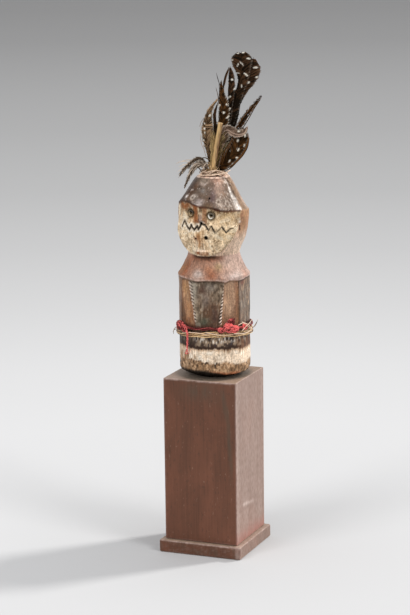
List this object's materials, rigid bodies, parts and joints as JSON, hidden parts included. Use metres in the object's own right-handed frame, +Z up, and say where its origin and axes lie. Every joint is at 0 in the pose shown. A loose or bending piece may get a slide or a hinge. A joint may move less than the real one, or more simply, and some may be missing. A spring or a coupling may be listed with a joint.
{
  "type": "oracle figure",
  "caption": "Carved wooden oracle figure with a kaolin face, bound waist and guineafowl feather tuft, standing on a tall square wooden plinth.",
  "frame": {"origin": "centre of the plinth's underside, where the work meets the ground", "axes": "+Z up, along the work's height; -Y out of the plinth's front, the side the figure looks to; +X to the viewer's right as the front is seen"},
  "size_m": [0.0858, 0.0858, 0.4905],
  "materials": {
    "plinth_wood": "red-brown stained wood with a low polish and worn edges",
    "carved_wood": "handled brown wood with dark patina and pale kaolin crust",
    "eye_ring": "pale grey, dull",
    "straw": "dry straw fibre",
    "red_yarn": "loose woollen yarn",
    "cane": "dry cane, lightly glossy",
    "spotted_feather": "black-brown feather with white spots",
    "buff_feather": "buff and grey-brown feather with downy barbs",
    "dark_feather": "dark, loosely barbed feather"
  },
  "bodies": {
    "root": {"plinth_foot": "plinth_wood", "plinth_block": "plinth_wood", "figure": "carved_wood", "eye_left": "eye_ring", "eye_right": "eye_ring", "straw_upper": "straw", "straw_lower": "straw", "red_yarn": "red_yarn", "crown_binding": "straw", "cane_stub": "cane", "feather_tall_front": "spotted_feather", "feather_tall_back": "spotted_feather", "feather_narrow": "spotted_feather", "feather_brown": "spotted_feather", "feather_loop": "dark_feather", "feather_curled_left": "buff_feather", "feather_down": "buff_feather", "feather_folded": "buff_feather", "feather_spotted_right": "spotted_feather", "feather_pointed": "dark_feather", "feather_drooping": "dark_feather", "feather_drooping_low": "dark_feather"}
  },
  "joints": []
}
